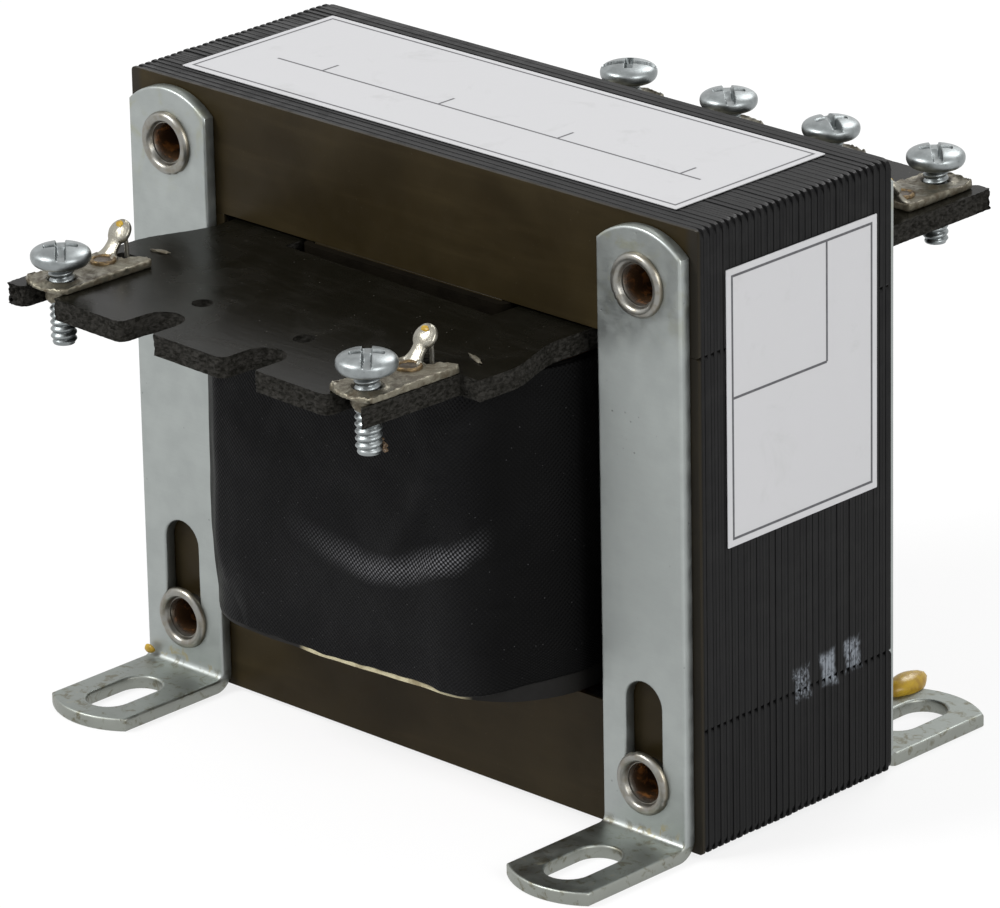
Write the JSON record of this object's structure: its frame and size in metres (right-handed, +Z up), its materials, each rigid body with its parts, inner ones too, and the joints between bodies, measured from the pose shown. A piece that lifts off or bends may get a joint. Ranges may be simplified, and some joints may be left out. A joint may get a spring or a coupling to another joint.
{
  "type": "control transformer",
  "caption": "Open-frame control transformer: laminated core on four slotted angle feet, cloth-wrapped coil, and screw terminal boards front and rear.",
  "frame": {"origin": "on the mounting surface under the feet, in the middle of the part", "axes": "+X along the wide face of the core, +Y from the two-terminal front to the four-terminal rear, +Z up"},
  "size_m": [0.0859, 0.096, 0.0721],
  "materials": {
    "varnished_laminations": "varnished, satin",
    "zinc_bracket": "dull zinc plate",
    "eyelet_metal": "dull tin plate, varnished",
    "former_board": "varnished pressboard",
    "wrap_paper": "varnished paper",
    "winding_copper": "enamelled copper wire",
    "woven_cloth": "varnished woven cloth",
    "fibre_board": "satin fibre board",
    "tinned_plate": "rough tin plate",
    "zinc_screw": "bright zinc plate",
    "tinned_wire": "tinned copper",
    "label_film": "satin film"
  },
  "bodies": {
    "frame": {"bottom_i_sheets": "varnished_laminations", "cloth_cover": "woven_cloth", "coil_former": "former_board", "front_left_bracket": "zinc_bracket", "front_left_lead": "tinned_wire", "front_left_terminal_plate": "tinned_plate", "front_right_bracket": "zinc_bracket", "front_right_lead": "tinned_wire", "front_right_terminal_plate": "tinned_plate", "front_terminal_board": "fibre_board", "inverted_e_sheets": "varnished_laminations", "lower_left_eyelet": "eyelet_metal", "lower_right_eyelet": "eyelet_metal", "paper_wrap": "wrap_paper", "primary_winding": "winding_copper", "rear_1_lead": "tinned_wire", "rear_1_terminal_plate": "tinned_plate", "rear_2_lead": "tinned_wire", "rear_2_terminal_plate": "tinned_plate", "rear_3_lead": "tinned_wire", "rear_3_terminal_plate": "tinned_plate", "rear_4_lead": "tinned_wire", "rear_4_terminal_plate": "tinned_plate", "rear_left_bracket": "zinc_bracket", "rear_right_bracket": "zinc_bracket", "rear_terminal_board": "fibre_board", "secondary_winding": "winding_copper", "side_label": "label_film", "top_i_sheets": "varnished_laminations", "top_label": "label_film", "upper_left_eyelet": "eyelet_metal", "upper_right_eyelet": "eyelet_metal", "upright_e_sheets": "varnished_laminations", "winding_insulation": "wrap_paper"},
    "front_left_terminal_screw": {"front_left_terminal_screw": "zinc_screw"},
    "front_right_terminal_screw": {"front_right_terminal_screw": "zinc_screw"},
    "rear_1_terminal_screw": {"rear_1_terminal_screw": "zinc_screw"},
    "rear_2_terminal_screw": {"rear_2_terminal_screw": "zinc_screw"},
    "rear_3_terminal_screw": {"rear_3_terminal_screw": "zinc_screw"},
    "rear_4_terminal_screw": {"rear_4_terminal_screw": "zinc_screw"}
  },
  "joints": [
    {"name": "front_left_terminal_screw_travel", "type": "slide", "parent": "frame", "child": "front_left_terminal_screw", "axis": [0, 0, 1], "range_m": [-0.00145, 0.004]},
    {"name": "front_right_terminal_screw_travel", "type": "slide", "parent": "frame", "child": "front_right_terminal_screw", "axis": [0, 0, 1], "range_m": [-0.00145, 0.004]},
    {"name": "rear_1_terminal_screw_travel", "type": "slide", "parent": "frame", "child": "rear_1_terminal_screw", "axis": [0, 0, 1], "range_m": [-0.00145, 0.004]},
    {"name": "rear_2_terminal_screw_travel", "type": "slide", "parent": "frame", "child": "rear_2_terminal_screw", "axis": [0, 0, 1], "range_m": [-0.00145, 0.004]},
    {"name": "rear_3_terminal_screw_travel", "type": "slide", "parent": "frame", "child": "rear_3_terminal_screw", "axis": [0, 0, 1], "range_m": [-0.00145, 0.004]},
    {"name": "rear_4_terminal_screw_travel", "type": "slide", "parent": "frame", "child": "rear_4_terminal_screw", "axis": [0, 0, 1], "range_m": [-0.00145, 0.004]}
  ]
}
